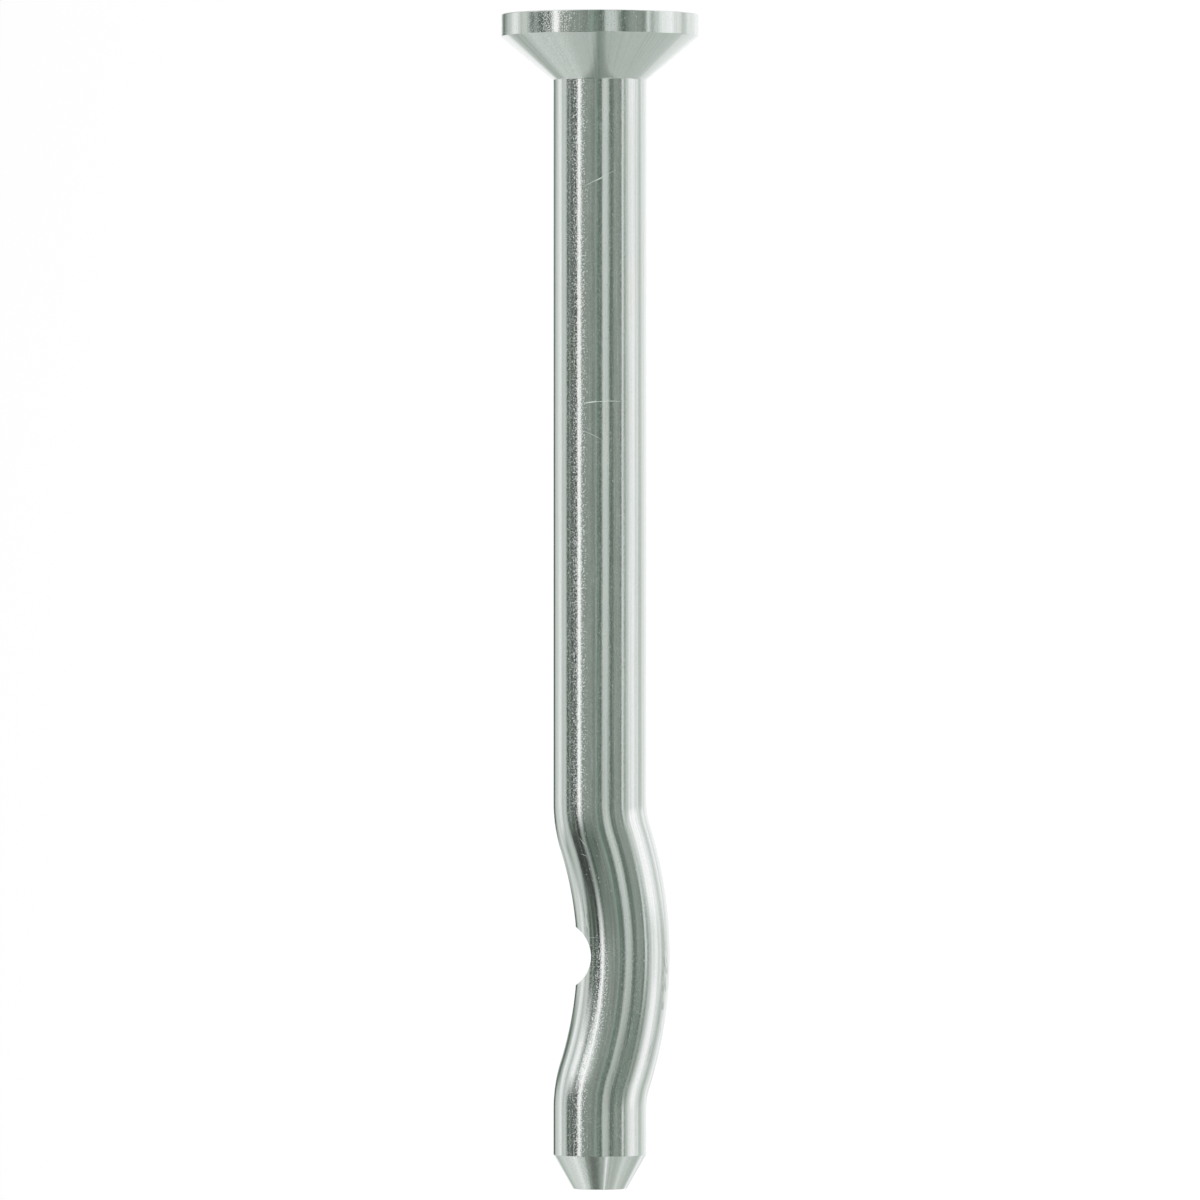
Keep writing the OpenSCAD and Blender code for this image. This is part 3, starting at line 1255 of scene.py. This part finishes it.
@dataclass
class Studio:
    """Floor, soft key light, the world with its cards, and the camera.

    Attributes:
        attitude: how the anchor lies.
        stretches: the cards, stretch by stretch, the first where the metal faces the camera squarely.
        floor_half: half of the floor's width, in metres.
        floor_tone: colour of the floor.
        floor_lift: what the camera sees the floor glow by.
        ambient: the world's share of the light on the floor, the rest being the key lamp's.
        key_radius: radius of the key lamp, in metres.
        lens: focal length of the camera, in millimetres.
        stand_off: distance of the camera from the anchor, in metres.
        aim: place along the axis that it looks at, in millimetres.
    """

    attitude: RestAttitude
    stretches: tuple[Stretch, ...] = (SQUARE_ON, HEADWARD, TIPWARD, PAST_TIP, END_ON)
    floor_half: float = 4.0
    floor_tone: float = 0.75
    floor_lift: float = 0.28
    ambient: float = 0.25
    key_radius: float = 0.004
    lens: float = 342.0
    stand_off: float = 0.74
    aim: float = 38.0

    def stand(self) -> Vector:
        """Gives the camera's place, square over the plane of the crimp, where the key lamp hangs as well."""
        return self.attitude.matrix() @ Vector((0, 0, self.aim)) + self.attitude.axes()[1] * self.stand_off

    def camera(self) -> None:
        """Places the camera, with the head up in its picture."""
        crest_side, upper_side, tipward = self.attitude.axes()
        data = bpy.data.cameras.new("studio_camera")
        data.lens = self.lens
        data.sensor_width = 36.0
        data.clip_start = 0.01
        data.clip_end = 20.0
        camera = shown("studio_camera", data)
        turn = Matrix((crest_side, -tipward, upper_side)).transposed().to_4x4()
        camera.matrix_world = Matrix.Translation(self.stand()) @ turn
        bpy.context.scene.camera = camera

    def key_light(self) -> None:
        """Hangs the key lamp at the camera, so that the shadow falls behind the anchor."""
        place = self.stand()
        data = bpy.data.lights.new("soft_key", "POINT")
        data.shadow_soft_size = self.key_radius
        data.energy = 4 * math.pi**2 * (1.0 - self.ambient) * place.length**3 / place.z
        key = shown("soft_key", data)
        key.location = place
        key.visible_glossy = False

    def floor(self) -> None:
        """Lays the pale floor, which stays white to the camera and keeps the anchor's shadow."""
        mesh = bpy.data.meshes.new("floor")
        half = self.floor_half
        corners = [(-half, -half, 0), (half, -half, 0), (half, half, 0), (-half, half, 0)]
        mesh.from_pydata(corners, [], [(0, 1, 2, 3)])
        bench = MaterialBench("pale_floor")
        seen = self.seen_by(bench, "Camera", "Glossy", "Transmission")
        feeds = {
            "Base Color": opaque((self.floor_tone,) * 3),
            "Roughness": 1.0,
            "Specular IOR Level": 0.0,
            "Emission Color": WHITE,
            "Emission Strength": seen * self.floor_lift,
        }
        mesh.materials.append(bench.shaded(feeds))
        floor = shown("floor", mesh)
        floor.visible_glossy = False

    def seen_by(self, bench: NodeBench, *kinds: str) -> Value:
        """Gives 1 where a ray is of one of some kinds, or else 0."""
        path = bench.add("ShaderNodeLightPath").outputs
        return functools.reduce(bench.either, (Value(bench, path[f"Is {kind} Ray"]) for kind in kinds))

    def rail(self, bench: NodeBench, angle: Value, cards: tuple[Card, ...]) -> Socket:
        """Lays a row of cards from one horizon to the other.

        Args:
            bench: the world's tree.
            angle: angle about the anchor's length, in degrees.
            cards: the cards in order.

        Returns:
            The colour's socket.
        """
        total = None
        for first in range(0, len(cards) - 1, CARDS_PER_RAMP - 1):
            group = cards[first : first + CARDS_PER_RAMP]
            low, width = group[0].start, group[-1].end - group[0].start
            ramp = bench.add("ShaderNodeValToRGB", {"Fac": (angle - low) / width})
            stops = ramp.color_ramp.elements
            stops.remove(stops[-1])
            for card in group:
                for edge in (card.start, card.end):
                    stop = stops[0] if edge == low else stops.new((edge - low) / width)
                    stop.position = (edge - low) / width
                    stop.color = opaque(card.tone)
            past = bench.maths("GREATER_THAN", angle, (low + group[0].end) / 2)
            total = bench.mixed(past, total, ramp.outputs[0]) if first else ramp.outputs[0]
        return total

    def cards(self, bench: NodeBench) -> Socket:
        """Hangs all the cards.

        Args:
            bench: the world's tree.

        Returns:
            The socket of the colour that the metal mirrors.
        """
        toward_head, side, up = bench.split(bench.add("ShaderNodeTexCoord").outputs["Generated"])
        turn = bench.maths("DEGREES", bench.maths("ARCTAN2", up, side))
        above = bench.maths("GREATER_THAN", up, 0.0)
        low_side = bench.ramped(turn, *LOW_SIDE)
        total = None
        for stretch in self.stretches:
            under, over = (self.rail(bench, turn, cards) for cards in (stretch.under, stretch.over))
            tones = bench.mixed(above, under, over)
            if total is None:
                total = tones
                continue
            place = toward_head
            for start, full, shift in stretch.shifts:
                place = place + bench.ramped(turn, start, full) * shift
            share = bench.ramped(place, *stretch.blend, smooth=stretch.eased)
            if stretch.low_blend is not None:
                own = bench.ramped(toward_head, *stretch.low_blend, smooth=False)
                share = share + low_side * (own - share)
            total = bench.mixed(share, total, tones)
        return total

    def world(self) -> None:
        """Sets a plain world, white to the camera, which the metal sees as a studio of long cards."""
        world = bpy.data.worlds.new("studio")
        bpy.context.scene.world = world
        world.use_nodes = True
        world.cycles.sampling_method = "NONE"
        bench = NodeBench(world.node_tree)
        seen = self.seen_by(bench, "Camera", "Transmission")
        tone = bench.mixed(seen, opaque((self.ambient,) * 3), WHITE)
        tone = bench.mixed(self.seen_by(bench, "Glossy"), tone, self.cards(bench))
        background = bench.add("ShaderNodeBackground", {"Color": tone, "Strength": 1.0})
        bench.add("ShaderNodeOutputWorld", {"Surface": background.outputs[0]})


# The whole scene


def main() -> None:
    """Builds the anchor and the studio round it."""
    logging.basicConfig(level=logging.INFO, format="%(name)s: %(message)s")
    bpy.context.scene.view_settings.view_transform = "Standard"
    attitude = RestAttitude(AnchorSizes())

    steel = AnchorSteel(attitude.sizes)
    piece = steel.build(attitude)
    steel.dress(piece, (FACE_PLATE, HEAD_PLATE, COUNTERSINK_PLATE, SHANK_PLATE, TIP_PLATE), Effects())
    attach(piece, "root")
    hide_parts("anchor")
    LOG.info("%s: %d faces", piece.name, len(piece.data.polygons))

    studio = Studio(attitude)
    studio.floor()
    studio.key_light()
    studio.world()
    studio.camera()
    LOG.info("studio: floor, key lamp, world and camera in place")


if __name__ == "__main__":
    main()
